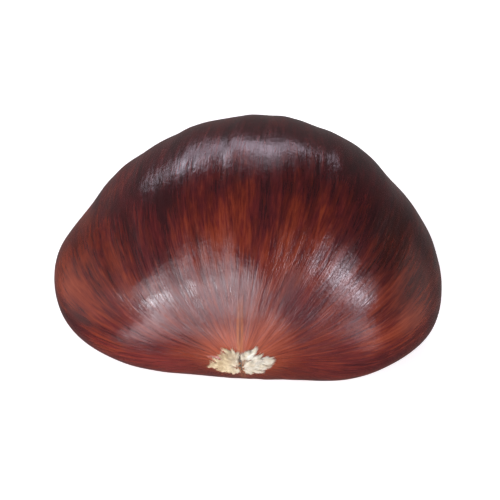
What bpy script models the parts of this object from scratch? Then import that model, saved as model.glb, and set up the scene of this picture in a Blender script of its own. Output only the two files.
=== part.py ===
"""A sweet chestnut, whole and in its shell, lying on its flat belly.

The nut is one solid. It lies with its belly on the plane z = 0, its pointed apex
towards -Y, the scar by which it sat in its husk towards +Y, and its rounded back up.

Every point of the surface is a distance from one point inside the nut, the core,
along a direction. A direction is given by two angles, like places on a globe whose
poles are the apex and the middle of the scar:
    along   0 at the apex, pi at the middle of the scar
    around  0 towards +X, a quarter turn up on the back
The grain of the shell runs along the meridians of that globe.
"""

import math

import bmesh
import bpy
import numpy as np

# Whole nut, in metres. Places of its two bodies are measured from the core.
CORE_HEIGHT = 0.0086
FLANKS_HALF = (0.0189, 0.0150, 0.0128)
FLANKS_AT = (0.0, -0.0001, -0.0019)
BACK_HALF = (0.0159, 0.0150, 0.0146)
BACK_AT = (0.0005, 0.0012, 0.0006)
JOINED_SHARPNESS = 12

# Flattened sides: outward direction, distance from the core, radius of curvature
BELLY_SIDE = ((0.0, 0.0, -1.0), 0.0089, 0.150)
SCAR_SIDE = ((0.0, 1.0, 0.10), 0.0153, 0.050)
CHIN_SIDE = ((0.0, -0.72, -0.69), 0.0114, 0.060)
CUT_SHARPNESS = 8

# Poles of the globe: how far each one is tilted from the horizontal, in degrees
APEX_DROP = 8.7
SCAR_RISE = 3.0

# Swellings and hollows of the shell: along and around in degrees, spread in degrees, height
SWELLINGS = (
    (80, 178, 20, 0.00061),
    (80, 2, 20, -0.00049),
    (50, -160, 16, 0.00066),
    (50, -20, 16, 0.00090),
    (42, 145, 16, 0.00043),
    (42, 35, 16, -0.00025),
    (45, 90, 16, 0.00016),
    (110, 153, 12, 0.00056),
    (93, 176, 9, 0.00034),
    (68, -162, 14, 0.00028),
    (114, 28, 12, -0.00026),
)

# Broad ridges along the grain: number round the nut, height, turn in degrees
RIDGES = ((7, 0.00006, 160), (11, 0.00006, 190), (16, 0.00005, 310), (23, 0.00004, 110))
RIDGE_BEND = 0.09
RIDGE_BEND_WAVES = 3

# Scar: half its size as seen from the core, in degrees, and its relief in metres
SCAR_HALF_WIDTH = 41.5
SCAR_HALF_HEIGHT = 26.0
SCAR_SQUARENESS = 2.6
SCAR_WAVES = ((3, 0.030, 40), (5, 0.022, 110), (8, 0.012, 10))
SCAR_EDGE = 1.6
SCAR_STEP = 0.00018
SCAR_LIP = 0.00006
SCAR_LIP_SPREAD = 3.0
SCAR_CROWN = 0.00030
SCAR_CROWN_SPREAD = 24.0

# Bumps of the scar: wave length in metres, heading in degrees, turn in degrees, height
SCAR_BUMPS = (
    (0.0066, 25, 20, 0.00007),
    (0.0051, 80, 110, 0.00006),
    (0.0043, 140, 240, 0.00006),
    (0.0037, 5, 150, 0.00005),
)

# Apex, in degrees from its middle as seen from the core: the beak and its two downy cheeks
BEAK_HEIGHT = 0.0006
BEAK_SPREAD = 12.0
CHEEK_HEIGHT = 0.00024
CHEEK_HALF_WIDTH = 15.0
CHEEK_HALF_HEIGHT = 8.0
CHEEK_RAYS = 8
CHEEK_RAY_DEPTH = 0.34
CHEEK_EDGE = 0.18

# The keel that parts the cheeks, and the stub of the style on it
KEEL_GAP = 1.6
KEEL_HEIGHT = 0.00012
KEEL_SPREAD = 1.2
STYLE_HEIGHT = 0.00042
STYLE_SPREAD = 3.0
STYLE_SHARPNESS = 6
STYLE_LOBES = 5
STYLE_LOBE_DEPTH = 0.25

# Mesh: rows lie closer together at the apex, and one runs at the foot of the scar's step
AROUND_STEPS = 100
SHELL_ROWS = 40
SCAR_ROWS = 12
APEX_CROWDING = 1.35

SHELL_COLOUR = (0.13, 0.030, 0.018, 1.0)
SHELL_ROUGHNESS = 0.32


def bell(distance, spread):
    """A smooth rise from 0 far away to 1 at no distance."""
    return np.exp(-((distance / spread) ** 2))


def to_ellipsoid(way, centre, half):
    """Distance from the core to an ellipsoid around it, along unit directions."""
    towards = way / half
    offset = np.array(centre) / half
    a = (towards**2).sum(-1)
    b = (towards * offset).sum(-1)
    c = (offset**2).sum() - 1
    return (b + np.sqrt(b * b - a * c)) / a


def to_side(way, side):
    """Distance from the core to a flattened side, a cap of a large sphere."""
    outward, distance, curvature = side
    unit = np.array(outward) / np.linalg.norm(outward)
    return to_ellipsoid(way, unit * (distance - curvature), (curvature,) * 3)


def joined(radii, sharpness):
    """The larger radius, with a smooth change from one body to the next."""
    return sum(r**sharpness for r in radii) ** (1 / sharpness)


def cut(radii, sharpness):
    """The smaller radius, with a rounded edge between two sides."""
    return sum(r**-sharpness for r in radii) ** (-1 / sharpness)


def directions(along, around):
    """Unit directions in the part's frame, with both poles tilted as the nut's are."""
    x = np.sin(along) * np.cos(around)
    y = -np.cos(along)
    z = np.sin(along) * np.sin(around)
    apex_share = (1 + np.cos(along)) / 2
    tilt = np.radians(APEX_DROP) * apex_share + np.radians(SCAR_RISE) * (1 - apex_share)
    return np.stack(
        [x, y * np.cos(tilt) - z * np.sin(tilt), y * np.sin(tilt) + z * np.cos(tilt)],
        axis=-1,
    )


def bare_radius(way):
    """The smooth body: broad flanks and a high back, cut by three flattened sides."""
    body = joined(
        [to_ellipsoid(way, FLANKS_AT, FLANKS_HALF), to_ellipsoid(way, BACK_AT, BACK_HALF)],
        JOINED_SHARPNESS,
    )
    sides = [to_side(way, side) for side in (BELLY_SIDE, SCAR_SIDE, CHIN_SIDE)]
    return cut([body, *sides], CUT_SHARPNESS)


def apart(along, around, place_along, place_around):
    """Angle in degrees between each direction and one place on the globe."""
    there = math.radians(place_along)
    cosine = np.cos(along) * math.cos(there)
    cosine += np.sin(along) * math.sin(there) * np.cos(around - math.radians(place_around))
    return np.degrees(np.arccos(np.clip(cosine, -1, 1)))


def swellings(along, around):
    """Broad uneven places, as every nut has."""
    return sum(
        height * bell(apart(along, around, place_along, place_around), spread)
        for place_along, place_around, spread, height in SWELLINGS
    )


def ridges(along, around):
    """Shallow ridges along the grain, which fade out at the poles and on the belly."""
    bent = around + RIDGE_BEND * np.sin(RIDGE_BEND_WAVES * around)
    waves = sum(height * np.cos(n * bent + math.radians(turn)) for n, height, turn in RIDGES)
    back_share = (1 + np.sin(around)) / 2
    return waves * np.sin(along) ** 2 * back_share


def scar_border(around):
    """Angle from the middle of the scar to its border, a wavy rounded rectangle."""
    wide = np.abs(np.cos(around)) / math.radians(SCAR_HALF_WIDTH)
    high = np.abs(np.sin(around)) / math.radians(SCAR_HALF_HEIGHT)
    border = (wide**SCAR_SQUARENESS + high**SCAR_SQUARENESS) ** (-1 / SCAR_SQUARENESS)
    waves = sum(size * np.cos(n * around + math.radians(turn)) for n, size, turn in SCAR_WAVES)
    return border * (1 + waves)


def scar_bumps(places):
    """Low bumps, as waves across the scar."""
    bumps = 0
    for wave_length, heading, turn, height in SCAR_BUMPS:
        across = math.cos(math.radians(heading)) * places[..., 0]
        up = math.sin(math.radians(heading)) * places[..., 2]
        phase = (across + up) * math.tau / wave_length + math.radians(turn)
        bumps = bumps + height * np.sin(phase)
    return bumps


def scar_relief(along, around, places):
    """The scar is one step lower than the shell's lip, and crowned and rough inside."""
    from_middle = math.pi - along
    inside = np.degrees(scar_border(around) - from_middle)
    share = np.clip(inside / SCAR_EDGE, 0, 1)
    lip = SCAR_LIP * bell(inside, SCAR_LIP_SPREAD) * (1 - share)
    crown = SCAR_CROWN * bell(np.degrees(from_middle), SCAR_CROWN_SPREAD)
    return lip + share * (crown - SCAR_STEP + scar_bumps(places))


def from_keel(along, around):
    """Angle in degrees sideways from the keel, which runs up and down through the apex."""
    return np.degrees(along) * np.cos(around)


def cheek_share(along, around):
    """1 on the two downy cheeks beside the apex, 0 off them and on the keel between."""
    reach = 1 / np.hypot(
        np.cos(around) / math.radians(CHEEK_HALF_WIDTH),
        np.sin(around) / math.radians(CHEEK_HALF_HEIGHT),
    )
    between_rays = (1 - np.cos(CHEEK_RAYS * around)) / 2
    inside = 1 - CHEEK_RAY_DEPTH * between_rays - along / reach
    share = np.clip(inside / CHEEK_EDGE, 0, 1)
    return share * (1 - bell(from_keel(along, around), KEEL_GAP))


def apex_relief(along, around):
    """The beak, the cheeks' down, the keel up the back and the stub of the style."""
    from_apex = np.degrees(along)
    beak = BEAK_HEIGHT * bell(from_apex, BEAK_SPREAD)
    cheeks = CHEEK_HEIGHT * cheek_share(along, around)
    keel = KEEL_HEIGHT * bell(from_keel(along, around), KEEL_SPREAD)
    between_lobes = (1 - np.cos(STYLE_LOBES * around)) / 2
    style_reach = STYLE_SPREAD * (1 - STYLE_LOBE_DEPTH * between_lobes)
    style = STYLE_HEIGHT / (1 + (from_apex / style_reach) ** STYLE_SHARPNESS)
    return beak + cheeks + keel * bell(from_apex, BEAK_SPREAD) + style


def surface(along, around):
    """Points of the nut's skin, in the part's frame."""
    way = directions(along, around)
    radius = bare_radius(way) + swellings(along, around)
    places = way * radius[..., None]
    radius = radius + ridges(along, around) + apex_relief(along, around)
    radius = radius + scar_relief(along, around, places)
    points = way * radius[..., None] + (0, 0, CORE_HEIGHT)
    # The lowest part of the belly is worn flat, and the nut rests on it.
    points[..., 2] = np.maximum(points[..., 2], 0)
    return points


def centred(points):
    """The points with the middle of their box over the origin."""
    middle = (points.min(axis=0) + points.max(axis=0)) / 2
    return points - (middle[0], middle[1], 0)


def meridian(row, around):
    """Angle along the meridian for a row: one lies on the scar's border, the next at its foot."""
    border = math.pi - scar_border(around)
    foot = border + math.radians(SCAR_EDGE)
    on_shell = np.clip(row / SHELL_ROWS, 0, 1) ** APEX_CROWDING
    on_step = np.clip(row - SHELL_ROWS, 0, 1)
    in_scar = np.clip((row - SHELL_ROWS - 1) / (SCAR_ROWS - 1), 0, 1)
    return border * on_shell + (foot - border) * on_step + (math.pi - foot) * in_scar


def build_nut():
    """A globe of quads, each point moved to its place on the nut."""
    mesh = bpy.data.meshes.new("nut")
    globe = bmesh.new()
    rows = SHELL_ROWS + SCAR_ROWS
    bmesh.ops.create_uvsphere(globe, u_segments=AROUND_STEPS, v_segments=rows, radius=1.0)
    globe.to_mesh(mesh)
    globe.free()
    places = np.empty(len(mesh.vertices) * 3, np.float32)
    mesh.vertices.foreach_get("co", places)
    places = places.reshape(-1, 3).astype(float)
    row = np.arccos(np.clip(places[:, 2], -1, 1)) / math.pi * rows
    around = np.arctan2(places[:, 1], places[:, 0])
    points = centred(surface(meridian(row, around), around))
    mesh.vertices.foreach_set("co", points.astype(np.float32).ravel())
    mesh.update()
    mesh.shade_smooth()
    nut = bpy.data.objects.new("nut", mesh)
    bpy.context.scene.collection.objects.link(nut)
    return nut


def shell_material():
    material = bpy.data.materials.new("shell")
    material.use_nodes = True
    shader = material.node_tree.nodes["Principled BSDF"]
    shader.inputs["Base Color"].default_value = SHELL_COLOUR
    shader.inputs["Roughness"].default_value = SHELL_ROUGHNESS
    shader.inputs["Metallic"].default_value = 0.0
    return material


def main():
    for old in list(bpy.data.objects):
        bpy.data.objects.remove(old)
    build_nut().data.materials.append(shell_material())


main()
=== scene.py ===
"""The looks of a sweet chestnut in its glossy shell, lying on its flat belly.

The skin is worked out from the same formulas as the solid, on a finer mesh, and gets what
the solid leaves out: fine grain, the scar's torn fibres, the hairs of the down, the dried
style and the finish of each. Lengths are in metres. Angles are in radians inside the
functions, and in degrees where a value is named, unless its heading says radians.

Every point of the skin is a distance from one point inside the nut, the core, along a
direction. A direction is given by two angles, like places on a globe whose poles are the
apex and the middle of the scar:
    along   0 at the apex, pi at the middle of the scar
    around  0 towards +X, a quarter turn up on the back
"""

import math

import bpy
import numpy as np
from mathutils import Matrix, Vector, noise

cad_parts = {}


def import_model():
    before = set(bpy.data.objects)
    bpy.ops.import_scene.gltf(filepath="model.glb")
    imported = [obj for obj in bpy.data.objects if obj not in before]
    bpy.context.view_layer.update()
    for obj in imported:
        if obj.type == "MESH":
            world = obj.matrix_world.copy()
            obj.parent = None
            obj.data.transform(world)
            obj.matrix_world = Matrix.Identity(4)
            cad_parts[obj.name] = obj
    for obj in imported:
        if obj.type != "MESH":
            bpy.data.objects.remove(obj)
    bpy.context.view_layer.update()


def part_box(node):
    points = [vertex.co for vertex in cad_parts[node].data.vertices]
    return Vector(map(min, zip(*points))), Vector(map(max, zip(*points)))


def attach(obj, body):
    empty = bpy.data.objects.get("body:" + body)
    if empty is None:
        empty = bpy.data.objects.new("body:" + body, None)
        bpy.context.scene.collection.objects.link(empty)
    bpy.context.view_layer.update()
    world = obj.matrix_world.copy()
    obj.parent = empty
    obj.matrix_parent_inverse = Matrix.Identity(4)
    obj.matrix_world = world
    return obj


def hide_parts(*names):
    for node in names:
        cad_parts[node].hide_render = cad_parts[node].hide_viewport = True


# Whole nut. Places of its two bodies are measured from the core.
CORE_HEIGHT = 0.0086
FLANKS_HALF = (0.0189, 0.0150, 0.0128)
FLANKS_AT = (0.0, -0.0001, -0.0019)
BACK_HALF = (0.0159, 0.0150, 0.0146)
BACK_AT = (0.0005, 0.0012, 0.0006)
JOINED_SHARPNESS = 12

# Flattened sides: outward direction, distance from the core, radius of curvature
BELLY_SIDE = ((0.0, 0.0, -1.0), 0.0089, 0.150)
SCAR_SIDE = ((0.0, 1.0, 0.10), 0.0153, 0.050)
CHIN_SIDE = ((0.0, -0.72, -0.69), 0.0114, 0.060)
CUT_SHARPNESS = 8

# Poles of the globe: how far each one is tilted from the horizontal
APEX_DROP = 8.7
SCAR_RISE = 3.0

# Swellings and hollows of the shell: along, around, spread, height
SWELLINGS = (
    (80, 178, 20, 0.00061),
    (80, 2, 20, -0.00049),
    (50, -160, 16, 0.00066),
    (50, -20, 16, 0.00090),
    (42, 145, 16, 0.00043),
    (42, 35, 16, -0.00025),
    (45, 90, 16, 0.00016),
    (110, 153, 12, 0.00056),
    (93, 176, 9, 0.00034),
    (68, -162, 14, 0.00028),
    (114, 28, 12, -0.00026),
)

# Ridges along the grain: number round the nut, height, turn. Their bend is in radians.
RIDGES = ((7, 0.00006, 160), (11, 0.00006, 190), (16, 0.00005, 310), (23, 0.00004, 110))
FINE_RIDGES = ((31, 0.000010, 70), (38, 0.000011, 20), (47, 0.000007, 320))
RIDGE_BEND = 0.09
RIDGE_BEND_WAVES = 3

# Uneven skin: bumps that run with the grain, as size round the nut, size along it and height
UNEVEN = ((0.17, 0.32, 0.000040), (0.09, 0.20, 0.000016))

# Smoother places: along, around, spread along, spread around, share of the relief worn off
SMOOTH = ((92, 127, 28, 10, 0.85), (40, 142, 13, 15, 0.7), (46, 28, 12, 13, 0.4))

# Scar: half its size as seen from the core, and its relief
SCAR_HALF_WIDTH = 41.5
SCAR_HALF_HEIGHT = 26.0
SCAR_SQUARENESS = 2.6
SCAR_WAVES = ((3, 0.030, 40), (5, 0.022, 110), (8, 0.012, 10))
SCAR_FINE_WAVES = ((17, 0.005, 50), (29, 0.004, 170), (43, 0.003, 290))
SCAR_EDGE = 1.6
SCAR_STEP = 0.00018
SCAR_LIP = 0.00006
SCAR_LIP_SPREAD = 3.0
SCAR_CROWN = 0.00030
SCAR_CROWN_SPREAD = 24.0
SCAR_BUMPS = (
    (0.0066, 25, 20, 0.00007),
    (0.0051, 80, 110, 0.00006),
    (0.0043, 140, 240, 0.00006),
    (0.0037, 5, 150, 0.00005),
)

# Torn fibres of the scar: width, length up and down, height, and the smooth rim round them
SCAR_FIBRES = ((0.00062, 0.0017, 0.00010), (0.00031, 0.0008, 0.00005))
SCAR_RIM = 5.0

# Apex: the beak and its two downy cheeks
BEAK_HEIGHT = 0.0006
BEAK_SPREAD = 12.0
CHEEK_HEIGHT = 0.00024
CHEEK_HALF_WIDTH = 15.0
CHEEK_HALF_HEIGHT = 8.0
CHEEK_RAYS = 8
CHEEK_RAY_DEPTH = 0.34
CHEEK_EDGE = 0.18

# The keel that parts the cheeks, and the stub of the style on it
KEEL_GAP = 1.6
KEEL_HEIGHT = 0.00012
KEEL_SPREAD = 1.2
STYLE_HEIGHT = 0.00042
STYLE_SPREAD = 3.0
STYLE_SHARPNESS = 6
STYLE_LOBES = 5
STYLE_LOBE_DEPTH = 0.25

# Mesh of the skin: rows lie closer together at the apex and on the scar's step
AROUND_STEPS = 512
SHELL_ROWS = 116
STEP_ROWS = 8
SCAR_ROWS = 62
APEX_CROWDING = 1.35

# Distance in radians over which the skin's slope is measured
NEARBY = 0.002

# Sway of the grain: waves round the nut, waves along it, size and turn in radians
GRAIN_SWAY = ((2, 0.9, 0.035, 0.4), (3, 2.3, 0.020, 2.1), (5, 3.1, 0.010, 4.0))
# Angle in radians from a pole at which the grain runs together
GRAIN_POLE = 0.03

# Rubbed places of the skin: along, around, spread along, spread around, how dull
SCUFFS = ((38, 132, 9, 3, 0.3), (40, 60, 9, 9, 0.3), (98, 108, 7, 2.5, 0.2))

# Tone of the shell and painted shading: along, around, spread along, spread around, lightness,
# warmth
# Besides the shell's own streaks and patches of colour, the darker, cooler spots on the top and
# back are painted shade, and the lighter spots low on the sides are painted light from the pale
# table.
TONE_AND_SHADING_SPOTS = (
    (66, 128, 22, 5, -0.18, -0.2),
    (70, 143, 14, 5, -0.18, -0.1),
    (57, 139, 7, 7, -0.20, -0.3),
    (70, 81, 18, 5, -0.22, -0.2),
    (70, 41, 10, 7, -0.10, -0.2),
    (90, 46, 12, 12, 0.10, 0.0),
    (59, 29, 7, 5, 0.10, 0.1),
    (80, 29, 18, 14, -0.42, 0.2),
    (92, 5, 16, 16, -0.22, 0.1),
    (98, 50, 18, 22, -0.14, -0.2),
    (60, 12, 14, 3, -0.16, 0.1),
    (34, 50, 7, 12, -0.12, -0.5),
    (104, 100, 16, 60, -0.06, -0.4),
    (84, 95, 12, 45, -0.14, -0.1),
    (86, 133, 14, 12, -0.10, -0.2),
    (56, 106, 12, 6, -0.03, 0.2),
    (51, 148, 6, 5, 0.12, 0.2),
    (60, 70, 14, 5, -0.01, 0.2),
    (68, 94, 12, 4, 0.06, 0.3),
    (74, 88, 12, 30, -0.08, 0.0),
    (62, 56, 8, 4, 0.10, 0.2),
    (62, 154, 8, 8, -0.12, 0.1),
    (72, 172, 12, 5, 0.17, 0.2),
    (67, 18, 12, 5, 0.10, 0.5),
    (63, 2, 14, 4, 0.12, 0.4),
    (22, 52, 6, 26, 0.20, 0.5),
    (24, 178, 6, 12, 0.12, 0.4),
    (50, 175, 26, 22, -0.04, -0.3),
    (40, -160, 20, 20, 0.36, -0.2),
    (78, 166, 16, 12, 0.12, 0.0),
    (58, 6, 12, 9, 0.14, 0.1),
    (73, 170, 26, 16, 0.02, 0.5),
    (76, 6, 22, 8, 0.02, 0.2),
    (83, 72, 8, 16, 0.08, 0.0),
    (24, 4, 8, 24, 0.16, 0.2),
    (50, -171, 14, 20, -0.07, 0.2),
    (30, -90, 16, 60, 0.10, 0.1),
    (60, 90, 20, 40, 0.05, 0.1),
    (98, -4, 10, 10, 0.16, 0.0),
    (45, -5, 20, 18, 0.06, -0.1),
    (44, 58, 7, 12, 0.12, 0.3),
)

# Down: how far it reaches from the apex, and its rays: heading, spread, further reach
DOWN_REACH = 8.0
DOWN_RAYS = (
    (204, 13, 8.5),
    (180, 8, 3.0),
    (158, 9, 1.5),
    (127, 10, 3.3),
    (226, 12, 6.5),
    (248, 9, 6.0),
    (57, 10, 3.8),
    (35, 9, 2.5),
    (8, 10, 6.0),
    (-20, 10, 5.5),
    (-50, 12, 6.5),
    (-73, 8, 5.0),
)
DOWN_EDGE = 2.0
DOWN_PARTING = 0.9

# Hairs of the down, which lie in tufts. A pair of values is the least and the most.
HAIR_SEED = 7
TUFT_COUNT = 300
TRIES_FOR_TUFT = 40
HAIRS_IN_TUFT = 28
TUFT_SPREAD = 0.42
TUFT_CLOSING = 0.45
TUFT_LENGTH = (2.4, 4.6)
TUFT_TURN = 13.0
TUFT_RISE = (0.00006, 0.00030)
HAIR_RINGS = 5
HAIR_SIDES = 3
HAIR_TURN = 6.0
HAIR_RADIUS = (0.000012, 0.000021)
HAIR_TAPER = 0.8
HAIR_ARCH = 0.8
SHARE_OF_LENGTH = (0.65, 1.1)
SHARE_OF_RISE = (0.5, 1.2)
SHADE_OF_TUFT = 0.7
SHADE_OF_HAIR = 0.4
ROOTS_INSIDE = 2.6

# Stub of the dried style: heading, lean, length, radius of each lobe
STYLE_PIECES = (
    (90, 8, 0.00022, 0.00019),
    (15, 42, 0.00030, 0.00014),
    (165, 46, 0.00028, 0.00014),
    (228, 46, 0.00046, 0.00016),
    (308, 48, 0.00042, 0.00015),
    (268, 58, 0.00062, 0.00019),
)
STYLE_RINGS = 7
STYLE_SIDES = 8
STYLE_FOOT = 0.00035
STYLE_DROOP = 0.00012
STYLE_TAPER = 0.55
STYLE_TAPER_CURVE = 1.5

# Loose fibres on the scar
FIBRE_SEED = 23
FIBRE_COUNT = 3600
TRIES_FOR_FIBRE = 12
FIBRE_LENGTH = (0.0004, 0.0017)
FIBRE_RADIUS = (0.000030, 0.000090)
FIBRE_TAPER = 0.55
FIBRE_FLATNESS = 0.30
FIBRE_RISE = (-0.000006, 0.000030)
FIBRE_SLOPE = 0.00003
FIBRE_BEND = 0.12
FIBRE_RINGS = 5
FIBRE_SIDES = 4
FIBRE_RIM = 9.0
FIBRES_INSIDE = 2.0
FIBRE_REACH = 1.1
DEGREE_ON_SCAR = 0.000267

# Turn of the fibres: at random, swirls as size and radians, fan as radians for each degree
FIBRE_TURN = 14.0
FIBRE_SWIRLS = ((9.0, 0.70), (23.0, 0.60))
FIBRE_FAN = 0.012

# Camera, as the photo was taken: degrees, metres and the width that it shows
CAMERA_AZIMUTH = 5.0
CAMERA_ELEVATION = 32.0
CAMERA_DISTANCE = 0.6
SEEN_WIDTH = 0.0493
SENSOR_WIDTH = 36.0
CENTRE_SHIFT = (0.0002, -0.00075)

# Glows of the studio: azimuth from the camera, elevation, full and last radius, strength, tint
GLOWS = (
    (-53, 5, 2, 9, 34.0, (0.90, 0.93, 1.0)),
    (-67, 15, 2, 10, 9.0, (0.92, 0.93, 1.0)),
    (-46, -8, 2, 10, 14.0, (0.92, 0.93, 1.0)),
    (-48, -26, 3, 11, 8.0, (0.95, 0.94, 1.0)),
    (-52, -46, 4, 14, 4.6, (0.97, 0.94, 1.0)),
    (-30, 28, 2, 17, 4.4, (0.97, 0.93, 1.0)),
    (-56, 34, 2, 12, 3.8, (0.96, 0.93, 1.0)),
    (-14, 18, 3, 19, 4.7, (1.0, 0.93, 1.0)),
    (8, 16, 2, 12, 1.4, (1.0, 0.92, 0.98)),
    (-13, -2, 3, 17, 4.2, (1.0, 0.92, 0.98)),
    (4, -6, 3, 14, 0.9, (1.0, 0.92, 0.96)),
    (-10, -30, 5, 22, 1.1, (1.0, 0.92, 0.94)),
    (52, 20, 2, 9, 16.0, (0.96, 0.88, 1.0)),
    (61, 30, 2, 8, 5.0, (0.96, 0.88, 1.0)),
    (48, 30, 2, 8, 1.1, (0.96, 0.88, 1.0)),
    (47, 7, 2, 9, 5.2, (0.96, 0.88, 1.0)),
    (44, -14, 3, 14, 2.6, (0.97, 0.88, 0.98)),
    (46, -34, 4, 16, 1.6, (0.97, 0.88, 0.98)),
    (-141, 35, 2, 10, 7.2, (0.94, 0.85, 1.0)),
    (-147, 45, 2, 8, 0.7, (0.96, 0.84, 1.0)),
    (-161, 36, 2, 10, 3.2, (0.98, 0.83, 1.0)),
    (-176, 48, 2, 11, 2.8, (0.98, 0.83, 1.0)),
    (175, 46, 2, 10, 2.7, (0.98, 0.83, 1.0)),
    (157, 38, 1, 7, 5.2, (0.98, 0.83, 1.0)),
    (-176, 60, 3, 13, 1.2, (1.0, 0.83, 0.96)),
    (157, 54, 3, 10, 1.0, (1.0, 0.83, 0.96)),
    (180, 0, 10, 70, 0.12, (1.0, 0.86, 0.86)),
    (-100, -12, 8, 36, 0.4, (1.0, 0.88, 0.86)),
    (105, -14, 8, 30, 0.3, (1.0, 0.88, 0.86)),
    (-15, -34, 10, 44, 0.4, (1.0, 0.96, 0.98)),
)
SKY_STRENGTH = 0.05

# Floor
FLOOR_HALF = 1.5
FLOOR_GAP = 0.00002

# What is the same all over each material
WHITE = (1.0, 1.0, 1.0, 1.0)
SHELL_LOOK = {"IOR": 1.6}
DOWN_LOOK = {"Roughness": 0.75, "Specular IOR Level": 0.25}
STYLE_LOOK = {"Roughness": 0.7}
FIBRE_LOOK = {"Roughness": 0.8}
FLOOR_LOOK = {
    "Base Color": (0.86, 0.86, 0.86, 1.0),
    "Roughness": 0.85,
    "Specular IOR Level": 0.1,
    "Emission Color": WHITE,
    "Emission Strength": 0.75,
}

# Colours of the shell, dark to light, where it is cool and where it is warm
COOL_SHADES = (
    (0.0, (0.029, 0.0068, 0.0080, 1.0)),
    (0.35, (0.061, 0.0090, 0.0104, 1.0)),
    (0.65, (0.107, 0.0142, 0.0135, 1.0)),
    (1.0, (0.162, 0.024, 0.021, 1.0)),
)
WARM_SHADES = (
    (0.0, (0.038, 0.008, 0.006, 1.0)),
    (0.35, (0.084, 0.012, 0.0074, 1.0)),
    (0.65, (0.152, 0.0225, 0.0098, 1.0)),
    (1.0, (0.236, 0.042, 0.0165, 1.0)),
)
ENDS_COLOUR = (0.37, 0.078, 0.031, 1.0)

# Colours of the scar, the down and the style
SCAR_DARK = (0.038, 0.025, 0.020, 1.0)
SCAR_BROWN = (0.135, 0.078, 0.049, 1.0)
SCAR_TAN = (0.280, 0.160, 0.086, 1.0)
SCAR_RIM_COLOUR = (0.088, 0.057, 0.043, 1.0)
SCAR_EDGE_COLOUR = (0.40, 0.15, 0.06, 1.0)
FIBRE_SHADES = (
    (0.0, (0.062, 0.039, 0.028, 1.0)),
    (0.45, (0.145, 0.085, 0.053, 1.0)),
    (0.80, (0.250, 0.138, 0.072, 1.0)),
    (0.95, (0.340, 0.200, 0.108, 1.0)),
    (1.0, (0.48, 0.36, 0.22, 1.0)),
)
DOWN_SKIN = (0.30, 0.17, 0.095, 1.0)
DOWN_BASE = (0.56, 0.42, 0.24, 1.0)
DOWN_YELLOW = (0.94, 0.84, 0.58, 1.0)
DOWN_WHITE = (0.99, 0.99, 0.90, 1.0)
DOWN_PALE_AND_LIT_BASE = (0.80, 0.73, 0.57, 1.0)
KEEL_LIGHT = (0.36, 0.12, 0.035, 1.0)
KEEL_DARK = (0.085, 0.024, 0.024, 1.0)
PARTING_COLOUR = (0.070, 0.048, 0.030, 1.0)
STYLE_COLOUR = (0.36, 0.15, 0.05, 1.0)
STYLE_DARK = (0.12, 0.046, 0.018, 1.0)

# Sockets of a mix node by kind of value: share, below, above, result
MIX_SOCKETS = {"FLOAT": (0, 2, 3, 0), "RGBA": (0, 6, 7, 2)}

# Patterns of noise: stretch if any, scale, detail, roughness if it isn't this one, distortion
NOISE_ROUGHNESS = 0.55

# Patterns of the shell: those that run with its grain, and the others
GRAIN_PATTERNS = {
    "broad": ((4.0, 4.0, 1.1), 1.0, 2.0),
    "bands": ((13.0, 13.0, 2.2), 1.0, 4.0, 0.6, 0.3),
    "streaks": ((42.0, 42.0, 5.0), 1.0, 4.0, 0.65, 0.35),
    "hairlines": ((120.0, 120.0, 16.0), 1.0, 2.0),
    "hues": ((8.0, 8.0, 2.5), 3.0, 3.0),
}
PLACE_PATTERNS = {"clouds": (230.0, 3.0), "mottles": (1500.0, 2.0)}

# How much each pattern adds to the shell's lightness, to its warmth and to its height
LIGHT_WEIGHTS = {"broad": 0.5, "bands": 1.1, "streaks": 1.2, "clouds": 0.7, "hairlines": 0.4}
WARM_WEIGHTS = {"hues": 1.3, "streaks": 1.0, "clouds": 0.6}
HEIGHT_WEIGHTS = {"bands": 1.4, "streaks": 1.6, "hairlines": 0.5, "mottles": 1.0}

# Changes over the shell: where each starts and ends, and what it gives there if not 0 and 1
STREAKED_ALONG = (0.10, 0.33, 0.5, 1.0)
LIGHT_ALONG = (0.60, 0.20, 0.43, 0.50)
SPOTS_GAIN = 1.2
USUAL_WARMTH = 0.42
WARM_CHANGE = (0.1, 0.9)
ENDS_AT_APEX = (0.15, 0.04)
ENDS_AT_SCAR = (-12.0, 5.0, 0.0, 0.9)
ENDS_BANDED = 12.0
ENDS_STREAKED = (0.32, 0.62, 0.25, 0.95)
EDGE_CHANGE = (-1.4, 0.9, 0.0, 0.5)
EDGE_STREAKED = 2.0

# Lines on the keel and the parting of the down
KEEL_WORN = (0.35, 0.60, 0.4, 1.0)
KEEL_ALONG = (0.20, 0.08)
KEEL_LIGHT_ACROSS = (1.7, 0.7, 0.0, 0.7)
KEEL_DARK_ACROSS = (0.6, 0.15)
KEEL_DARK_ALONG = (0.050, 0.085, 0.0, 0.9)
PARTING_ACROSS = (1.8, 1.0)
PARTING_ALONG = (0.042, 0.030)

# Gloss and bump of the skin. A bump is a distance and a strength.
SHINE = (0.36, 0.62, 0.16, 0.24)
DULL_ROUGHNESS = 0.5
SKIN_BUMP = (0.00004, 0.6)
DOWN_CHANGE = (0.2, 0.7)

# Scar: its patterns and the changes between its colours
SCAR_GRAIN = ((1700.0, 1700.0, 620.0), 1.0, 4.0, 0.7)
SCAR_PATCHES = (330.0, 3.0, 0.6)
SCAR_PITS = 900.0
BROWN_CHANGE = (0.36, 0.62)
TAN_CHANGE = (0.44, 0.66, 0.0, 0.7)
RIM_STREAKS = ((60.0, 60.0, 6.0), 1.0, 3.0, 0.6)
RIM_STREAK_CHANGE = (0.35, 0.65)
RIM_CHANGE = (3.5, -2.0)
RIM_PATCHED = -9.0
PIT_CHANGE = (0.26, 0.10)
PIT_PLACES = (0.42, 0.52)
PIT_DEPTH = 0.8
SCAR_CHANGE = (0.2, 0.9)
SCAR_TORN = 1.2
SCAR_HEIGHT = 2.2
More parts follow.
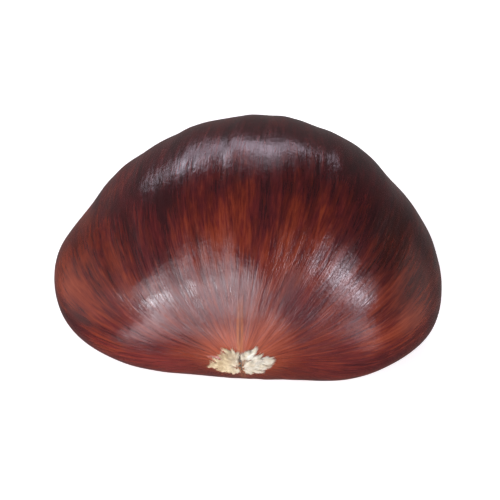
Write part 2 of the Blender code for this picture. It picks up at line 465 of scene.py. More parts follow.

# Down: the half towards +X is whiter in hue, and its extra brightness is painted light on the
# better-lit side
DOWN_PALER_AND_LIT_SIDE = (-0.0012, 0.0012)
DOWN_PATCHES = (2200.0, 2.0)
DOWN_PATCH_CHANGE = (0.38, 0.58, 0.75, 0.0)
DOWN_ROOT_CHANGE = (0.30, 0.0, 0.0, 0.35)

# Dried style and loose fibres
STYLE_GRAIN = ((9000.0, 3000.0, 9000.0), 1.0, 3.0)
STYLE_CHANGE = (0.35, 0.65)
STYLE_BUMP = (0.00002, 0.6)
FIBRE_WEAR = (3000.0, 3.0)
FIBRE_WEAR_CHANGE = (0.45, 0.65, 0.0, 0.6)
FIBRE_END_CHANGE = (0.55, 1.0, 0.0, 0.5)
FIBRE_BUMP = (0.00002, 0.5)


def bell(distance, spread):
    """A smooth rise from 0 far away to 1 at no distance."""
    return np.exp(-((distance / spread) ** 2))


def eased(share):
    """A share from 0 to 1 that starts and ends gently."""
    share = np.clip(share, 0, 1)
    return share * share * (3 - 2 * share)


def to_ellipsoid(way, centre, half):
    """Distance from the core to an ellipsoid around it, along unit directions."""
    towards = way / half
    offset = np.array(centre) / half
    a = (towards**2).sum(-1)
    b = (towards * offset).sum(-1)
    c = (offset**2).sum() - 1
    return (b + np.sqrt(b * b - a * c)) / a


def to_side(way, side):
    """Distance from the core to a flattened side, a cap of a large sphere."""
    outward, distance, curvature = side
    unit = np.array(outward) / np.linalg.norm(outward)
    return to_ellipsoid(way, unit * (distance - curvature), (curvature,) * 3)


def joined(radii, sharpness):
    """The larger radius, with a smooth change from one body to the next."""
    return sum(r**sharpness for r in radii) ** (1 / sharpness)


def cut(radii, sharpness):
    """The smaller radius, with a rounded edge between two sides."""
    return sum(r**-sharpness for r in radii) ** (-1 / sharpness)


def directions(along, around):
    """Unit directions in the part's frame, with both poles tilted as the nut's are."""
    x = np.sin(along) * np.cos(around)
    y = -np.cos(along)
    z = np.sin(along) * np.sin(around)
    apex_share = (1 + np.cos(along)) / 2
    tilt = np.radians(APEX_DROP) * apex_share + np.radians(SCAR_RISE) * (1 - apex_share)
    return np.stack(
        [x, y * np.cos(tilt) - z * np.sin(tilt), y * np.sin(tilt) + z * np.cos(tilt)],
        axis=-1,
    )


def bare_radius(way):
    """The smooth body: broad flanks and a high back, cut by three flattened sides."""
    body = joined(
        [to_ellipsoid(way, FLANKS_AT, FLANKS_HALF), to_ellipsoid(way, BACK_AT, BACK_HALF)],
        JOINED_SHARPNESS,
    )
    sides = [to_side(way, side) for side in (BELLY_SIDE, SCAR_SIDE, CHIN_SIDE)]
    return cut([body, *sides], CUT_SHARPNESS)


def apart(along, around, place_along, place_around):
    """Angle in degrees between each direction and one place on the globe."""
    there = math.radians(place_along)
    cosine = np.cos(along) * math.cos(there)
    cosine = cosine + np.sin(along) * math.sin(there) * np.cos(around - math.radians(place_around))
    return np.degrees(np.arccos(np.clip(cosine, -1, 1)))


def turned_by(around, heading):
    """Difference in degrees between an angle around and a heading, -180 to 180."""
    return (np.degrees(around) - heading + 180) % 360 - 180


def spot_share(along, around, spot):
    """1 in the middle of a spot, which fades out along the grain and across it."""
    spot_along, spot_around, long, wide = spot
    return bell(np.degrees(along) - spot_along, long) * bell(turned_by(around, spot_around), wide)


def swellings(along, around):
    """Broad uneven places, as every nut has."""
    return sum(
        height * bell(apart(along, around, *place), spread) for *place, spread, height in SWELLINGS
    )


def left_rough(along, around):
    """Share of the ridges and of the uneven skin that the smoother places leave."""
    left = 1.0
    for *spot, worn in SMOOTH:
        left = left * (1 - worn * spot_share(along, around, spot))
    return left


def sway(along, around):
    """How far the grain wanders sideways from its meridian, as an angle around."""
    return sum(
        size * np.sin(n * around + rate * along + turn) for n, rate, size, turn in GRAIN_SWAY
    )


def ridges(along, around):
    """Shallow ridges along the grain, which fade out at the poles and on the belly."""
    bent = around + RIDGE_BEND * np.sin(RIDGE_BEND_WAVES * around)
    waves = sum(height * np.cos(n * bent + math.radians(turn)) for n, height, turn in RIDGES)
    swayed = around + sway(along, around)
    waves = waves + sum(
        height * np.cos(n * swayed + math.radians(turn)) for n, height, turn in FINE_RIDGES
    )
    back_share = (1 + np.sin(around)) / 2
    return waves * np.sin(along) ** 2 * back_share * left_rough(along, around)


def scar_border(around):
    """Angle from the middle of the scar to its border, a wavy rounded rectangle."""
    wide = np.abs(np.cos(around)) / math.radians(SCAR_HALF_WIDTH)
    high = np.abs(np.sin(around)) / math.radians(SCAR_HALF_HEIGHT)
    border = (wide**SCAR_SQUARENESS + high**SCAR_SQUARENESS) ** (-1 / SCAR_SQUARENESS)
    waves = sum(
        size * np.cos(n * around + math.radians(turn))
        for n, size, turn in SCAR_WAVES + SCAR_FINE_WAVES
    )
    return border * (1 + waves)


def scar_bumps(places):
    """Low bumps, as waves across the scar."""
    bumps = 0
    for wave_length, heading, turn, height in SCAR_BUMPS:
        across = math.cos(math.radians(heading)) * places[..., 0]
        up = math.sin(math.radians(heading)) * places[..., 2]
        phase = (across + up) * math.tau / wave_length + math.radians(turn)
        bumps = bumps + height * np.sin(phase)
    return bumps


def scar_inside(along, around):
    """How far inside the scar's border a direction lies, in degrees."""
    return np.degrees(scar_border(around) - (math.pi - along))


def scar_relief(along, around, places):
    """The scar is one step lower than the shell's lip, and crowned and rough inside."""
    inside = scar_inside(along, around)
    share = eased(inside / SCAR_EDGE)
    lip = SCAR_LIP * bell(inside, SCAR_LIP_SPREAD) * (1 - share)
    crown = SCAR_CROWN * bell(np.degrees(math.pi - along), SCAR_CROWN_SPREAD)
    return lip + share * (crown - SCAR_STEP + scar_bumps(places))


def from_keel(along, around):
    """Angle in degrees sideways from the keel, which runs up and down through the apex."""
    return np.degrees(along) * np.cos(around)


def cheek_share(along, around):
    """1 on the two downy cheeks beside the apex, 0 off them and on the keel between."""
    reach = 1 / np.hypot(
        np.cos(around) / math.radians(CHEEK_HALF_WIDTH),
        np.sin(around) / math.radians(CHEEK_HALF_HEIGHT),
    )
    between_rays = (1 - np.cos(CHEEK_RAYS * around)) / 2
    inside = 1 - CHEEK_RAY_DEPTH * between_rays - along / reach
    share = np.clip(inside / CHEEK_EDGE, 0, 1)
    return share * (1 - bell(from_keel(along, around), KEEL_GAP))


def apex_relief(along, around):
    """The beak, the cheeks' down, the keel up the back and the stub of the style."""
    from_apex = np.degrees(along)
    beak = BEAK_HEIGHT * bell(from_apex, BEAK_SPREAD)
    cheeks = CHEEK_HEIGHT * cheek_share(along, around)
    keel = KEEL_HEIGHT * bell(from_keel(along, around), KEEL_SPREAD)
    between_lobes = (1 - np.cos(STYLE_LOBES * around)) / 2
    style_reach = STYLE_SPREAD * (1 - STYLE_LOBE_DEPTH * between_lobes)
    style = STYLE_HEIGHT / (1 + (from_apex / style_reach) ** STYLE_SHARPNESS)
    return beak + cheeks + keel * bell(from_apex, BEAK_SPREAD) + style


def surface(along, around):
    """Points of the skin without its finest relief, measured from the solid's own core."""
    way = directions(along, around)
    radius = bare_radius(way) + swellings(along, around)
    places = way * radius[..., None]
    radius = radius + ridges(along, around) + apex_relief(along, around)
    radius = radius + scar_relief(along, around, places)
    points = way * radius[..., None] + (0, 0, CORE_HEIGHT)
    # The lowest part of the belly is worn flat, and the nut rests on it.
    points[..., 2] = np.maximum(points[..., 2], 0)
    return points


def noise_at(places):
    """Smooth noise, about -1 to 1, at each place."""
    return np.array([noise.noise(Vector(place)) for place in places])


def fine_relief(along, around, points):
    """What only the skin's mesh is fine enough for: uneven skin and the scar's torn fibres."""
    grain = grain_places(along, around)
    uneven = sum(height * noise_at(grain / (wide, wide, long)) for wide, long, height in UNEVEN)
    uneven = uneven * left_rough(along, around)
    in_fibres = eased(scar_inside(along, around) / SCAR_RIM)
    scarred = in_fibres > 0
    torn = np.zeros(len(points))
    for width, length, height in SCAR_FIBRES:
        stretched = points[scarred] / (width, width, length)
        torn[scarred] += height * noise_at(stretched)
    return uneven + torn * in_fibres


def meridian(row, around):
    """Angle along the meridian for a row of the skin's mesh."""
    border = math.pi - scar_border(around)
    foot = border + math.radians(SCAR_EDGE)
    on_shell = np.clip(row / SHELL_ROWS, 0, 1) ** APEX_CROWDING
    on_step = np.clip((row - SHELL_ROWS) / STEP_ROWS, 0, 1)
    in_scar = np.clip((row - SHELL_ROWS - STEP_ROWS) / SCAR_ROWS, 0, 1)
    return border * on_shell + (foot - border) * on_step + (math.pi - foot) * in_scar


def skin_angles():
    """Both angles of each vertex of the skin: the apex, the rows and the scar's middle."""
    rows = SHELL_ROWS + STEP_ROWS + SCAR_ROWS
    row = np.arange(1, rows)[:, None]
    around = np.arange(AROUND_STEPS)[None, :] * math.tau / AROUND_STEPS
    along, around = np.broadcast_arrays(meridian(row, around), around)
    along = np.concatenate([[0], along.ravel(), [math.pi]])
    return along, np.concatenate([[0], around.ravel(), [0]])


def skin_faces(vertex_count):
    """Quads between neighbouring rows, and a fan of triangles at each pole."""
    column = np.arange(AROUND_STEPS)
    beside = (column + 1) % AROUND_STEPS
    faces = [(0, 1 + c, 1 + b) for c, b in zip(column, beside)]
    first = 1
    while first + 2 * AROUND_STEPS < vertex_count:
        below = first + AROUND_STEPS
        faces += zip(first + column, below + column, below + beside, first + beside)
        first = below
    last = vertex_count - 1
    faces += [(last, first + b, first + c) for c, b in zip(column, beside)]
    return [tuple(int(index) for index in face) for face in faces]


def into_box(points, own_low, own_high):
    """The points, scaled by under a hundredth so that their box becomes the solid's."""
    low, high = (np.array(corner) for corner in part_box("nut"))
    return low + (points - own_low) * (high - low) / (own_high - own_low)


def write_attribute(mesh, name, values):
    attribute = mesh.attributes.new(name, "FLOAT_VECTOR", "POINT")
    attribute.data.foreach_set("vector", np.ascontiguousarray(values, np.float32).ravel())


def grain_places(along, around):
    """Places on a long tube, on which a pattern stretched lengthwise runs from pole to pole."""
    from_pole = np.minimum(along, math.pi - along)
    tube = np.tanh(from_pole / GRAIN_POLE)
    turned = around + sway(along, around)
    return np.stack([tube * np.cos(turned), tube * np.sin(turned), along], axis=-1)


def tones_and_shading(along, around):
    """Lightness, warmth and dullness of the shell's spots and streaks."""
    # The lightness is partly painted shading: shade on the top and back, and the pale table's light
    # low on the sides.
    lightness = np.zeros_like(along)
    warmth = np.zeros_like(along)
    for *spot, lighter, warmer in TONE_AND_SHADING_SPOTS:
        share = spot_share(along, around, spot)
        lightness += lighter * share
        warmth += warmer * share
    dullness = np.zeros_like(along)
    for *spot, dull in SCUFFS:
        dullness += dull * spot_share(along, around, spot)
    return np.stack([lightness, warmth, dullness], axis=-1)


def down_reach(around):
    """How far the down reaches from the apex, in degrees."""
    return DOWN_REACH + sum(
        further * bell(turned_by(around, heading), spread) for heading, spread, further in DOWN_RAYS
    )


def down_share(along, around):
    """1 where the skin is downy, 0 off it and on the keel between its two patches."""
    within = eased((down_reach(around) - np.degrees(along)) / DOWN_EDGE)
    return within * (1 - bell(from_keel(along, around), DOWN_PARTING))


def link(name, mesh):
    piece = bpy.data.objects.new(name, mesh)
    bpy.context.scene.collection.objects.link(piece)
    return piece


class Skin:
    """The nut's skin as points of the part's frame, and the box that sets its place."""

    def __init__(self):
        self.along, self.around = skin_angles()
        plain = surface(self.along, self.around)
        way = directions(self.along, self.around)
        rough = plain + way * fine_relief(self.along, self.around, plain)[:, None]
        rough[:, 2] = np.maximum(rough[:, 2], 0)
        self.low, self.high = rough.min(axis=0), rough.max(axis=0)
        self.points = into_box(rough, self.low, self.high)

    def at(self, along, around):
        """Points of the skin, without its finest relief, in the part's frame."""
        return into_box(surface(along, around), self.low, self.high)

    def outward(self, along, around):
        """Unit normals of the skin."""
        here = self.at(along, around)
        further = self.at(along + NEARBY, around) - here
        beside = self.at(along, around + NEARBY / np.sin(along)) - here
        normal = np.cross(further, beside)
        return normal / np.linalg.norm(normal, axis=-1, keepdims=True)

    def build(self):
        mesh = bpy.data.meshes.new("nut_skin")
        mesh.from_pydata(self.points.tolist(), [], skin_faces(len(self.points)))
        write_attribute(mesh, "grain", grain_places(self.along, self.around))
        marks = [mark(self.along, self.around) for mark in (scar_inside, down_share, from_keel)]
        write_attribute(mesh, "marks", np.stack(marks, axis=-1))
        write_attribute(mesh, "tones_and_shading", tones_and_shading(self.along, self.around))
        mesh.shade_smooth()
        return link("nut_skin", mesh)


class Nodes:
    """A node tree, with short calls for the nodes used here."""

    def __init__(self, tree):
        self.tree = tree

    def add(self, kind, inputs, output=0, **settings):
        made = self.tree.nodes.new(kind)
        for name, value in settings.items():
            setattr(made, name, value)
        for name, value in inputs.items():
            if isinstance(value, bpy.types.NodeSocket):
                self.tree.links.new(value, made.inputs[name])
            else:
                made.inputs[name].default_value = value
        return made.outputs[output]

    def parts(self, vector):
        split = self.tree.nodes.new("ShaderNodeSeparateXYZ")
        self.tree.links.new(vector, split.inputs[0])
        return split.outputs

    def noise(self, vector, scale, detail, roughness=NOISE_ROUGHNESS, distortion=0.0):
        settings = {"Vector": vector, "Scale": scale, "Detail": detail}
        settings |= {"Roughness": roughness, "Distortion": distortion}
        return self.add("ShaderNodeTexNoise", settings)

    def stretched_noise(self, vector, stretch, *look):
        place = self.add("ShaderNodeVectorMath", {0: vector, 1: stretch}, operation="MULTIPLY")
        return self.noise(place, *look)

    def math(self, operation, a, b=0.0):
        return self.add("ShaderNodeMath", {0: a, 1: b}, operation=operation)

    def plus(self, a, b):
        return self.math("ADD", a, b)

    def times(self, a, b):
        return self.math("MULTIPLY", a, b)

    def between(self, value, low, high, start=0.0, end=1.0):
        """Start below low, end above high, and a smooth change between them."""
        settings = {"Value": value, "From Min": low, "From Max": high}
        settings |= {"To Min": start, "To Max": end}
        return self.add("ShaderNodeMapRange", settings, interpolation_type="SMOOTHSTEP")

    def ramp(self, value, shades):
        """A colour for each value, blended between the given shades."""
        made = self.tree.nodes.new("ShaderNodeValToRGB")
        self.tree.links.new(value, made.inputs[0])
        stops = made.color_ramp.elements
        for place, _ in shades[1:-1]:
            stops.new(place)
        for stop, (place, colour) in zip(stops, shades):
            stop.position = place
            stop.color = colour
        return made.outputs[0]

    def summed(self, patterns, weights):
        """Sum of the named patterns, each less one half and times its weight."""
        total = 0.0
        for name, weight in weights.items():
            centred = self.math("SUBTRACT", patterns[name], 0.5)
            total = self.plus(self.times(centred, weight), total)
        return total

    def mix(self, share, below, above, kind="RGBA"):
        """One colour over another, or one number over another where the kind is FLOAT."""
        *places, result = MIX_SOCKETS[kind]
        inputs = dict(zip(places, (share, below, above)))
        return self.add("ShaderNodeMix", inputs, result, data_type=kind)

    def bump(self, height, distance, strength):
        settings = {"Height": height, "Distance": distance, "Strength": strength}
        return self.add("ShaderNodeBump", settings)


class Finish(Nodes):
    """A material's node tree."""

    def __init__(self, name, look):
        self.material = bpy.data.materials.new(name)
        self.material.use_nodes = True
        super().__init__(self.material.node_tree)
        self.sockets = self.tree.nodes["Principled BSDF"].inputs
        for socket, value in look.items():
            self.sockets[socket].default_value = value

    def give(self, socket, value):
        """What changes over the surface."""
        self.tree.links.new(value, self.sockets[socket])

    def attribute(self, name):
        return self.add("ShaderNodeAttribute", {}, "Vector", attribute_name=name)

    def object_place(self):
        return self.add("ShaderNodeTexCoord", {}, "Object")


def shell_patterns(finish, grain):
    """The patterns that make the shell's colour and its height, by name."""
    place = finish.object_place()
    patterns = {}
    for name, look in GRAIN_PATTERNS.items():
        patterns[name] = finish.stretched_noise(grain, *look)
    for name, look in PLACE_PATTERNS.items():
        patterns[name] = finish.noise(place, *look)
    return patterns


def mahogany(finish, patterns, length):
    """The shell's streaked brown, with its spots of tone and of painted shading."""
    lighter, warmer, _ = finish.parts(finish.attribute("tones_and_shading"))
    light = finish.summed(patterns, LIGHT_WEIGHTS)
    light = finish.times(light, finish.between(length, *STREAKED_ALONG))
    # These spots paint shade onto the top and back, and the pale table's light onto the low sides.
    light = finish.plus(light, finish.times(lighter, SPOTS_GAIN))
    light = finish.plus(light, finish.between(length, *LIGHT_ALONG))
    warm = finish.summed(patterns, WARM_WEIGHTS)
    warm = finish.plus(warm, finish.plus(warmer, USUAL_WARMTH))
    cool_shade = finish.ramp(light, COOL_SHADES)
    warm_shade = finish.ramp(light, WARM_SHADES)
    return finish.mix(finish.between(warm, *WARM_CHANGE), cool_shade, warm_shade)


def with_ends(finish, colour, patterns, length, inside):
    """Orange towards the apex and the scar, and lighter on the scar's edge."""
    banded = finish.times(patterns["bands"], ENDS_BANDED)
    near_apex = finish.between(length, *ENDS_AT_APEX)
    near_scar = finish.between(finish.plus(inside, banded), *ENDS_AT_SCAR)
    ends = finish.math("MAXIMUM", near_apex, near_scar)
    ends = finish.times(ends, finish.between(patterns["streaks"], *ENDS_STREAKED))
    colour = finish.mix(ends, colour, ENDS_COLOUR)
    streaked = finish.times(patterns["streaks"], EDGE_STREAKED)
    edge = finish.between(finish.plus(inside, streaked), *EDGE_CHANGE)
    return finish.mix(edge, colour, SCAR_EDGE_COLOUR)


def with_keel(finish, colour, patterns, length, keel):
    """A light line with a dark one in it up the keel, and the parting of the down."""
    off_keel = finish.math("ABSOLUTE", keel)
    worn = finish.between(patterns["hairlines"], *KEEL_WORN)
    shown = finish.times(finish.between(length, *KEEL_ALONG), worn)
    light_line = finish.times(shown, finish.between(off_keel, *KEEL_LIGHT_ACROSS))
    colour = finish.mix(light_line, colour, KEEL_LIGHT)
    dark_line = finish.times(shown, finish.between(off_keel, *KEEL_DARK_ACROSS))
    dark_line = finish.times(dark_line, finish.between(length, *KEEL_DARK_ALONG))
    colour = finish.mix(dark_line, colour, KEEL_DARK)
    parting = finish.between(off_keel, *PARTING_ACROSS)
    parting = finish.times(parting, finish.between(length, *PARTING_ALONG))
    return finish.mix(parting, colour, PARTING_COLOUR)


def scar_colour(finish, grain, inside):
    """Grey-brown torn wood with dark pits, and a darker rim with faint streaks."""
    place = finish.object_place()
    fibres = finish.stretched_noise(place, *SCAR_GRAIN)
    patches = finish.noise(place, *SCAR_PATCHES)
    colour = finish.mix(finish.between(fibres, *BROWN_CHANGE), SCAR_DARK, SCAR_BROWN)
    colour = finish.mix(finish.between(patches, *TAN_CHANGE), colour, SCAR_TAN)

    radial = finish.between(finish.stretched_noise(grain, *RIM_STREAKS), *RIM_STREAK_CHANGE)
    rim_place = finish.plus(inside, finish.times(patches, RIM_PATCHED))
    rim_colour = finish.mix(radial, SCAR_DARK, SCAR_RIM_COLOUR)
    colour = finish.mix(finish.between(rim_place, *RIM_CHANGE), colour, rim_colour)

    pits = finish.add("ShaderNodeTexVoronoi", {"Vector": place, "Scale": SCAR_PITS}, "Distance")
    pitted = finish.between(pits, *PIT_CHANGE)
    pitted = finish.times(pitted, finish.between(patches, *PIT_PLACES))
    height = finish.math("SUBTRACT", fibres, finish.times(pitted, PIT_DEPTH))
    return finish.mix(pitted, colour, SCAR_DARK), fibres, height


def skin_roughness(finish, streaks, matt):
    """Glossy, a little less so on light streaks, and dull where it is rubbed or matt."""
    _, _, rubbed = finish.parts(finish.attribute("tones_and_shading"))
    dull = finish.times(finish.math("MAXIMUM", matt, rubbed), DULL_ROUGHNESS)
    return finish.plus(finish.between(streaks, *SHINE), dull)


def skin_finish():
    """Length is a share of the way from apex to scar, and inside and keel are degrees."""
    finish = Finish("shell", SHELL_LOOK)
    inside, down, keel = finish.parts(finish.attribute("marks"))
    grain = finish.attribute("grain")
    _, _, along = finish.parts(grain)
    length = finish.times(along, 1 / math.pi)
    patterns = shell_patterns(finish, grain)
    colour = mahogany(finish, patterns, length)
    colour = with_ends(finish, colour, patterns, length, inside)
    colour = with_keel(finish, colour, patterns, length, keel)

    scar, fibres, scar_height = scar_colour(finish, grain, inside)
    torn = finish.times(finish.math("SUBTRACT", fibres, 0.5), SCAR_TORN)
    in_scar = finish.between(finish.plus(inside, torn), *SCAR_CHANGE)
    in_down = finish.between(down, *DOWN_CHANGE)
    colour = finish.mix(in_scar, colour, scar)
    finish.give("Base Color", finish.mix(in_down, colour, DOWN_SKIN))

    matt = finish.math("MAXIMUM", in_scar, in_down)
    finish.give("Roughness", skin_roughness(finish, patterns["streaks"], matt))
    height = finish.summed(patterns, HEIGHT_WEIGHTS)
    torn_height = finish.times(scar_height, SCAR_HEIGHT)
    height = finish.mix(in_scar, height, torn_height, "FLOAT")
    finish.give("Normal", finish.bump(height, *SKIN_BUMP))
    return finish.material


def down_finish():
    finish = Finish("down", DOWN_LOOK)
    shade, along_hair, _ = finish.parts(finish.attribute("hair"))
    place = finish.object_place()
    sideways, _, _ = finish.parts(place)
    # Towards +X the down is whiter, and it is painted brighter as painted light on its better-lit
    # side.
    paler_and_lit = finish.between(sideways, *DOWN_PALER_AND_LIT_SIDE)
    tip_colour = finish.mix(paler_and_lit, DOWN_YELLOW, DOWN_WHITE)
    base_colour = finish.mix(paler_and_lit, DOWN_BASE, DOWN_PALE_AND_LIT_BASE)
    colour = finish.mix(shade, base_colour, tip_colour)
    patches = finish.between(finish.noise(place, *DOWN_PATCHES), *DOWN_PATCH_CHANGE)
    colour = finish.mix(patches, colour, base_colour)
    colour = finish.mix(finish.between(along_hair, *DOWN_ROOT_CHANGE), colour, DOWN_SKIN)
    finish.give("Base Color", colour)
    return finish.material


def style_finish():
    finish = Finish("style", STYLE_LOOK)
    fibres = finish.stretched_noise(finish.object_place(), *STYLE_GRAIN)
    colour = finish.mix(finish.between(fibres, *STYLE_CHANGE), STYLE_DARK, STYLE_COLOUR)
    finish.give("Base Color", colour)
    finish.give("Normal", finish.bump(fibres, *STYLE_BUMP))
    return finish.material


def fibre_finish():
    finish = Finish("torn_fibres", FIBRE_LOOK)
    shade, along_fibre, _ = finish.parts(finish.attribute("hair"))
    wear = finish.noise(finish.object_place(), *FIBRE_WEAR)
    colour = finish.ramp(shade, FIBRE_SHADES)
    colour = finish.mix(finish.between(wear, *FIBRE_WEAR_CHANGE), colour, SCAR_DARK)
    colour = finish.mix(finish.between(along_fibre, *FIBRE_END_CHANGE), colour, SCAR_BROWN)
    finish.give("Base Color", colour)
    finish.give("Normal", finish.bump(wear, *FIBRE_BUMP))
    return finish.material


def to_angles(flat):
    """Angle from a pole and angle around, for places on a flat map round it in degrees."""
    x = flat[..., 0]
    y = flat[..., 1]
    return np.radians(np.hypot(x, y)), np.arctan2(y, x)


def tuft_roots(draw):
    """Roots of the tufts on the flat map: spread evenly over the down, clear of its edge."""
    widest = DOWN_REACH + max(further for _, _, further in DOWN_RAYS)
    flat = draw.uniform(-widest, widest, (TRIES_FOR_TUFT * TUFT_COUNT, 2))
    along, around = to_angles(flat)
    inside = down_reach(around) - np.degrees(along)
    rooted = (inside > ROOTS_INSIDE) & (np.abs(flat[:, 0]) > DOWN_PARTING)
    rooted &= np.degrees(along) > DOWN_PARTING
    return flat[rooted][:TUFT_COUNT]


def hair_lines(skin, draw):
    """Centre lines of the hairs, their outward directions and a shade for each hair."""
    roots = tuft_roots(draw)
    count = len(roots)
    heading = np.arctan2(roots[:, 1], roots[:, 0]) + np.radians(draw.normal(0, TUFT_TURN, count))
    length = draw.uniform(*TUFT_LENGTH, count)
    rise = draw.uniform(*TUFT_RISE, count)
    tone = draw.random(count)

    tuft = np.repeat(np.arange(count), HAIRS_IN_TUFT)
    off = draw.normal(0, TUFT_SPREAD, (len(tuft), 2))
    hair_heading = heading[tuft] + np.radians(draw.normal(0, HAIR_TURN, len(tuft)))
    hair_length = length[tuft] * draw.uniform(*SHARE_OF_LENGTH, len(tuft))
    way = np.stack([np.cos(hair_heading), np.sin(hair_heading)], axis=-1)
    start = roots[tuft] + off
    end = roots[tuft] + off * (1 - TUFT_CLOSING) + way * hair_length[:, None]
    step = np.linspace(0, 1, HAIR_RINGS)[:, None]
    along, around = to_angles(start[:, None] + (end - start)[:, None] * step)

    lift = rise[tuft] * draw.uniform(*SHARE_OF_RISE, len(tuft))
    lift = lift[:, None] * np.sin(step[:, 0] * math.pi * HAIR_ARCH)
    normal = skin.outward(along, around)
    shade = SHADE_OF_TUFT * tone[tuft] + SHADE_OF_HAIR * draw.random(len(tuft))
    return skin.at(along, around) + normal * lift[..., None], normal, np.clip(shade, 0, 1)


def tube_faces(rings, sides):
    """Faces of one tube, which is closed at its foot and pointed at its end."""
    faces = [tuple(reversed(range(sides)))]
    for ring in range(rings - 1):
        for side in range(sides):
            here = ring * sides + side
            beside = ring * sides + (side + 1) % sides
            if ring < rings - 2:
                faces.append((here, beside, beside + sides, here + sides))
            else:
                faces.append((here, beside, (rings - 1) * sides))
    return faces


def tubes(name, lines, normals, radii, sides, flatness=1.0):
    """Tapered tubes round many centre lines, all in one mesh."""
    count, rings = lines.shape[:2]
    tangent = np.gradient(lines, axis=1)
    tangent /= np.linalg.norm(tangent, axis=-1, keepdims=True)
    beside = np.cross(tangent, normals)
    beside /= np.linalg.norm(beside, axis=-1, keepdims=True)
    over = np.cross(beside, tangent) * flatness
    turn = np.arange(sides) * math.tau / sides
    ring = beside[:, :, None] * np.cos(turn)[:, None] + over[:, :, None] * np.sin(turn)[:, None]
    around = lines[:, :, None] + ring * radii[:, :, None, None]
    points = np.concatenate([around[:, :-1].reshape(count, -1, 3), lines[:, -1:]], axis=1)
    each = points.shape[1]
    one = tube_faces(rings, sides)
    faces = [tuple(i + tube * each for i in face) for tube in range(count) for face in one]
    mesh = bpy.data.meshes.new(name)
    mesh.from_pydata(points.reshape(-1, 3).tolist(), [], faces)
    mesh.shade_smooth()
    return mesh


def write_shades(mesh, shade, rings, sides):
    """Each tube's shade, and the place of each vertex along its tube."""
    place = np.append(np.repeat(np.linspace(0, 1, rings)[:-1], sides), 1)
    along = np.tile(place, len(shade))
    shade = np.repeat(shade, len(place))
    write_attribute(mesh, "hair", np.stack([shade, along, np.zeros_like(shade)], axis=-1))


def build_down(skin):
    draw = np.random.default_rng(HAIR_SEED)
    lines, normals, shade = hair_lines(skin, draw)
    step = np.linspace(0, 1, HAIR_RINGS)
    radii = draw.uniform(*HAIR_RADIUS, len(lines))[:, None] * (1 - HAIR_TAPER * step**2)
    mesh = tubes("apex_down", lines, normals, radii, HAIR_SIDES)
    write_shades(mesh, shade, HAIR_RINGS, HAIR_SIDES)
    return link("apex_down", mesh)


def fibre_roots(draw):
    """Places of the fibres on a flat map round the scar's middle, fewer towards the rim."""
    widest = SCAR_HALF_WIDTH * FIBRE_REACH
    flat = draw.uniform(-widest, widest, (TRIES_FOR_FIBRE * FIBRE_COUNT, 2))
    from_middle, around = to_angles(flat)
    inside = np.degrees(scar_border(around) - from_middle)
    wanted = eased((inside - FIBRES_INSIDE) / FIBRE_RIM)
    return flat[draw.random(len(flat)) < wanted][:FIBRE_COUNT]


def fibre_headings(roots, draw):
    """Which way each fibre runs: mostly up and down, in swirls, and fanned out at the sides."""
    heading = math.pi / 2 + np.radians(draw.normal(0, FIBRE_TURN, len(roots)))
    for size, turn in FIBRE_SWIRLS:
        swirl = noise_at(np.append(roots / size, np.full((len(roots), 1), size), axis=1))
        heading = heading + turn * swirl
    return heading - FIBRE_FAN * roots[:, 0] * np.where(roots[:, 1] > 0, 1, -1)


def fibre_lines(skin, draw):
    """Centre lines of the fibres, slightly bent, and their outward directions."""
    roots = fibre_roots(draw)
    count = len(roots)
    heading = fibre_headings(roots, draw)
    way = np.stack([np.cos(heading), np.sin(heading)], axis=-1)
    beside = np.stack([-way[:, 1], way[:, 0]], axis=-1)
    half = draw.uniform(*FIBRE_LENGTH, count) / DEGREE_ON_SCAR / 2
    step = np.linspace(-1, 1, FIBRE_RINGS)[None, :]
    bend = draw.normal(0, FIBRE_BEND, count)[:, None] * half[:, None] * step**2
    flat = roots[:, None] + way[:, None] * (half[:, None] * step)[..., None]
    flat = flat + beside[:, None] * bend[..., None]
    from_middle, around = to_angles(flat)
    along = math.pi - from_middle
    rise = draw.uniform(*FIBRE_RISE, count)[:, None]
    rise = rise + FIBRE_SLOPE * draw.random(count)[:, None] * step
    normal = skin.outward(along, around)
    return skin.at(along, around) + normal * rise[..., None], normal


def build_fibres(skin):
    """Torn fibres that lie on the scar."""
    draw = np.random.default_rng(FIBRE_SEED)
    lines, normals = fibre_lines(skin, draw)
    step = np.linspace(-1, 1, FIBRE_RINGS)
    radii = draw.uniform(*FIBRE_RADIUS, len(lines))[:, None] * (1 - FIBRE_TAPER * step**2)
    mesh = tubes("scar_fibres", lines, normals, radii, FIBRE_SIDES, FIBRE_FLATNESS)
    write_shades(mesh, draw.random(len(lines)), FIBRE_RINGS, FIBRE_SIDES)
    return link("scar_fibres", mesh)


def build_style(skin):
    """The dried style: short lobes that lean out from the apex and droop."""
    apex = skin.points[0]
    outward = directions(np.zeros(1), np.zeros(1))[0]
    beside = np.array([1.0, 0.0, 0.0])
    upward = np.cross(beside, outward)
    step = np.linspace(0, 1, STYLE_RINGS)
    lines = []
    radii = []
    for heading, lean, length, radius in STYLE_PIECES:
        turn = math.radians(heading)
        tilt = math.radians(lean)
        sideways = beside * math.cos(turn) + upward * math.sin(turn)
        way = outward * math.cos(tilt) + sideways * math.sin(tilt)
        line = apex - outward * STYLE_FOOT + step[:, None] * way * (length + STYLE_FOOT)
        line[:, 2] -= STYLE_DROOP * step**2
        lines.append(line)
        radii.append(radius * (1 - STYLE_TAPER * step**STYLE_TAPER_CURVE))
    lines = np.array(lines)
    normals = np.broadcast_to(upward, lines.shape)
    return link("style_stub", tubes("style_stub", lines, normals, np.array(radii), STYLE_SIDES))


def towards(azimuth, elevation):
    """Unit direction from the nut to a place round it. Azimuth 0 is in front, towards -Y."""
    turn = math.radians(azimuth)
    rise = math.radians(elevation)
    level = math.cos(rise)
    return Vector((math.sin(turn) * level, -math.cos(turn) * level, math.sin(rise)))


def aim(thing, place, at):
    thing.location = place
    thing.rotation_euler = (place - at).to_track_quat("Z", "Y").to_euler()


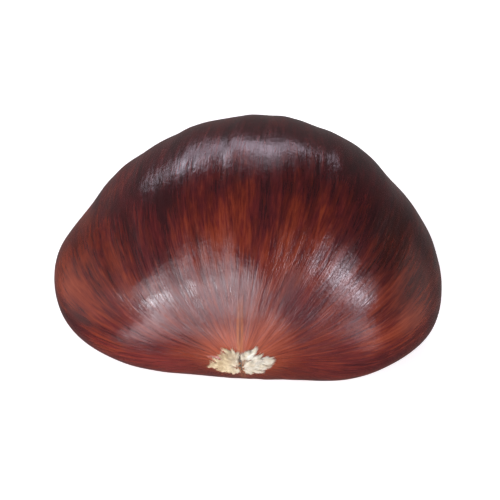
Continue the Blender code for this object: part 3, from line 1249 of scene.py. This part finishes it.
def add_camera(middle):
    data = bpy.data.cameras.new("camera")
    data.sensor_width = SENSOR_WIDTH
    data.lens = SENSOR_WIDTH * CAMERA_DISTANCE / SEEN_WIDTH
    camera = link("camera", data)
    back = towards(CAMERA_AZIMUTH, CAMERA_ELEVATION)
    right = Vector((0, 0, 1)).cross(back).normalized()
    at = middle + right * CENTRE_SHIFT[0] + back.cross(right) * CENTRE_SHIFT[1]
    aim(camera, at + back * CAMERA_DISTANCE, at)
    bpy.context.scene.camera = camera


def add_studio():
    """A dim room with soft glows, which light the nut and show in its gloss.

    Those under the horizon are what the shell mirrors from the pale table.
    """
    world = bpy.data.worlds.new("studio")
    world.use_nodes = True
    tree = world.node_tree
    nodes = Nodes(tree)
    way = nodes.add("ShaderNodeTexCoord", {}, "Generated")
    room = tree.nodes["Background"]
    room.inputs["Color"].default_value = WHITE
    room.inputs["Strength"].default_value = SKY_STRENGTH
    light = room.outputs[0]
    for azimuth, elevation, full, none, strength, tint in GLOWS:
        there = towards(CAMERA_AZIMUTH + azimuth, elevation)
        shown = glow_near(nodes, way, there, (full, none), strength)
        glow = nodes.add("ShaderNodeBackground", {"Color": (*tint, 1.0), "Strength": shown})
        light = nodes.add("ShaderNodeAddShader", {0: light, 1: glow})
    tree.links.new(light, tree.nodes["World Output"].inputs["Surface"])
    bpy.context.scene.world = world


def glow_near(nodes, way, there, radii, strength):
    """Full strength near one direction, falling smoothly to nothing round it."""
    settings = {0: way, 1: there}
    nearness = nodes.add("ShaderNodeVectorMath", settings, "Value", operation="DOT_PRODUCT")
    full, none = (math.cos(math.radians(radius)) for radius in radii)
    return nodes.between(nearness, none, full, 0.0, strength)


def add_floor():
    mesh = bpy.data.meshes.new("floor")
    square = ((-1, -1), (1, -1), (1, 1), (-1, 1))
    corners = [(x * FLOOR_HALF, y * FLOOR_HALF, -FLOOR_GAP) for x, y in square]
    mesh.from_pydata(corners, [], [(0, 1, 2, 3)])
    mesh.materials.append(Finish("floor", FLOOR_LOOK).material)
    floor = link("floor", mesh)
    # The shell mirrors the studio's glows, which are dark behind the nut, instead of this floor.
    floor.visible_glossy = False


def dress(piece, finish):
    piece.data.materials.append(finish)
    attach(piece, "root")


def main():
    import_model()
    skin = Skin()
    nut = skin.build()
    dress(nut, skin_finish())
    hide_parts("nut")
    dress(build_down(skin), down_finish())
    dress(build_style(skin), style_finish())
    dress(build_fibres(skin), fibre_finish())
    low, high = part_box("nut")
    middle = (low + high) / 2
    add_camera(middle)
    add_studio()
    add_floor()
    bpy.context.scene.view_settings.view_transform = "Standard"


main()
